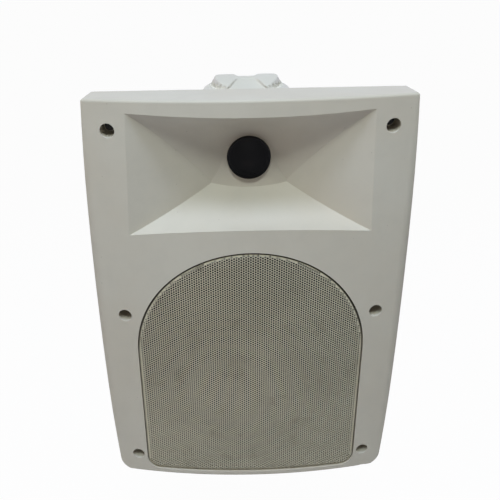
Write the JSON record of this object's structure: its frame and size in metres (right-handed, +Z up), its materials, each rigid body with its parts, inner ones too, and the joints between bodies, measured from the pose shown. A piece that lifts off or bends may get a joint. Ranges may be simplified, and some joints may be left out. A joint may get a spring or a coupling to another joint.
{
  "type": "outdoor patio speaker",
  "caption": "Outdoor wall speaker: moulded horn front with a domed tweeter, arched perforated grille over the woofer, tapered cabinet and swivel U-bracket with hand knobs.",
  "frame": {"origin": "middle of the bracket's flat wall face", "axes": "+Y into the wall, so the front faces -Y; +Z up along the swivel axis; +X to the right seen from the front"},
  "size_m": [0.2546, 0.21, 0.35],
  "materials": {
    "white_moulding": "satin moulded",
    "knob_moulding": "satin moulded",
    "grille_paint": "satin powder coat",
    "grille_cloth": "thin woven",
    "black_foam": "matt",
    "black_screws": "blackened",
    "basket_paint": "satin black",
    "surround_rubber": "matt",
    "cone_plastic": "satin",
    "coil_winding": "enamelled wire",
    "spider_cloth": "stiffened woven",
    "motor_steel": "zinc plated",
    "ferrite": "matt",
    "guard_mesh": "satin black",
    "black_plastic": "matt moulded",
    "dome_cloth": "coated woven",
    "board_laminate": "lacquered",
    "choke_wire": "enamelled wire",
    "capacitor_sleeve": "gloss",
    "resistor_cement": "matt",
    "red_plastic": "gloss",
    "terminal_brass": "plated",
    "bracket_paint": "satin powder coat",
    "bolt_steel": "zinc plated",
    "lead_sleeve": "matt"
  },
  "bodies": {
    "bracket": {"u_bracket": "bracket_paint"},
    "cabinet": {"front_baffle": "white_moulding", "rear_cabinet": "white_moulding", "baffle_gasket": "black_foam", "baffle_screws": "black_screws", "woofer_grille": "grille_paint", "grille_cloth": "grille_cloth", "woofer_basket": "basket_paint", "woofer_gasket": "black_foam", "woofer_surround": "surround_rubber", "woofer_spider": "spider_cloth", "woofer_top_plate": "motor_steel", "woofer_magnet": "ferrite", "woofer_back_plate": "motor_steel", "woofer_screws": "black_screws", "tweeter_plate": "black_plastic", "tweeter_guard": "guard_mesh", "tweeter_dome": "dome_cloth", "tweeter_yoke": "motor_steel", "tweeter_magnet": "ferrite", "tweeter_screws": "black_screws", "crossover_board": "board_laminate", "board_screws": "bolt_steel", "crossover_coils": "choke_wire", "crossover_capacitors": "capacitor_sleeve", "crossover_resistor": "resistor_cement", "terminal_plate": "black_plastic", "terminal_plate_screws": "black_screws", "terminal_posts": "terminal_brass", "terminal_nuts": "terminal_brass", "pivot_inserts": "terminal_brass", "pivot_washers": "black_foam", "input_lead": "lead_sleeve", "woofer_lead": "lead_sleeve", "tweeter_lead": "lead_sleeve"},
    "cone": {"woofer_cone": "cone_plastic", "dust_cap": "cone_plastic", "voice_coil": "coil_winding"},
    "upper_knob": {"knob_top": "knob_moulding", "knob_bolt_top": "bolt_steel"},
    "lower_knob": {"knob_bottom": "knob_moulding", "knob_bolt_bottom": "bolt_steel"},
    "red_cap": {"terminal_cap_red": "red_plastic"},
    "black_cap": {"terminal_cap_black": "black_plastic"}
  },
  "joints": [
    {"name": "cabinet_swivel", "type": "hinge", "parent": "bracket", "child": "cabinet", "pos_m": [0, -0.115, 0], "axis": [0, 0, 1], "range_deg": [-75, 75]},
    {"name": "upper_knob_turn", "type": "hinge", "parent": "cabinet", "child": "upper_knob", "pos_m": [0, -0.115, 0.155], "axis": [0, 0, 1], "continuous": true},
    {"name": "lower_knob_turn", "type": "hinge", "parent": "cabinet", "child": "lower_knob", "pos_m": [0, -0.115, -0.155], "axis": [0, 0, 1], "continuous": true},
    {"name": "cone_travel", "type": "slide", "parent": "cabinet", "child": "cone", "axis": [0, 1, 0], "range_m": [-0.003, 0.003], "stiffness_N_per_m": 1500, "deforming": ["woofer_surround", "woofer_spider"]},
    {"name": "red_cap_turn", "type": "hinge", "parent": "cabinet", "child": "red_cap", "pos_m": [0.0095, -0.0137, -0.062], "axis": [0, 1, 0], "continuous": true},
    {"name": "black_cap_turn", "type": "hinge", "parent": "cabinet", "child": "black_cap", "pos_m": [-0.0095, -0.0137, -0.062], "axis": [0, 1, 0], "continuous": true}
  ]
}
